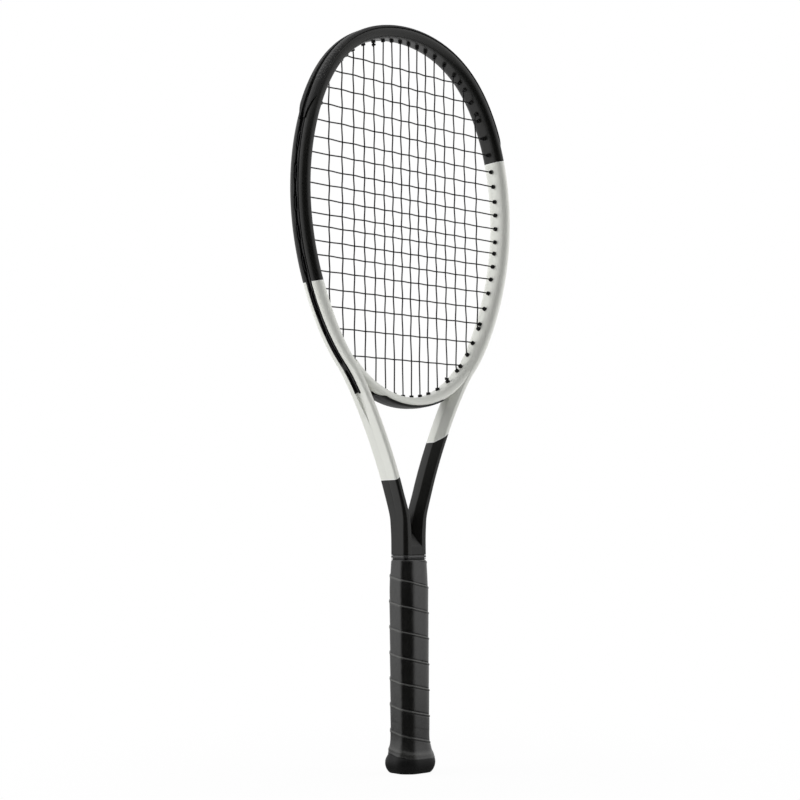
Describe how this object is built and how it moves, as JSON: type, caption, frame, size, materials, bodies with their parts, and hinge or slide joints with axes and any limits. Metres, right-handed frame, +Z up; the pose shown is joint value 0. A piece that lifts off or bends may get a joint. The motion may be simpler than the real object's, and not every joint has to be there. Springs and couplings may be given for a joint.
{
  "type": "tennis racket",
  "caption": "Strung tennis racket with an egg-shaped hoop, open two-arm throat, flared wrapped handle and a snap-in door in its butt cap.",
  "frame": {"origin": "middle of the butt cap's bottom rim, on the racket's long axis", "axes": "+Z up the handle to the tip of the hoop, +X across the head, +Y through the thickness, away from the front face"},
  "size_m": [0.2598, 0.0384, 0.685],
  "materials": {
    "frame_paint": "satin lacquer, black and warm off-white bands",
    "guard_plastic": "matte moulded nylon",
    "string": "semi-gloss monofilament",
    "pallet_foam": "moulded rigid foam",
    "grip": "grained synthetic leather",
    "tape": "satin vinyl tape",
    "collar": "matte rubber",
    "butt_plastic": "matte moulded plastic",
    "staple_steel": "drawn wire"
  },
  "bodies": {
    "racket": {"frame_hairpin": "frame_paint", "throat_bridge": "frame_paint", "bumper_guard": "guard_plastic", "grommet_strip_left": "guard_plastic", "grommet_strip_right": "guard_plastic", "grommet_strip_bridge": "guard_plastic", "string_mains": "string", "string_crosses": "string", "knot_mains_left": "string", "knot_mains_right": "string", "knot_crosses_top": "string", "knot_crosses_bottom": "string", "pallet_front": "pallet_foam", "pallet_back": "pallet_foam", "grip_wrap": "grip", "finishing_tape": "tape", "grip_collar": "collar", "butt_cap": "butt_plastic", "staple_front_left": "staple_steel", "staple_front_right": "staple_steel", "staple_back_left": "staple_steel", "staple_back_right": "staple_steel"},
    "butt_door": {"butt_cap_door": "butt_plastic"}
  },
  "joints": [
    {"name": "door_pull", "type": "slide", "parent": "racket", "child": "butt_door", "axis": [0, 0, -1], "range_m": [0, 0.02]}
  ]
}
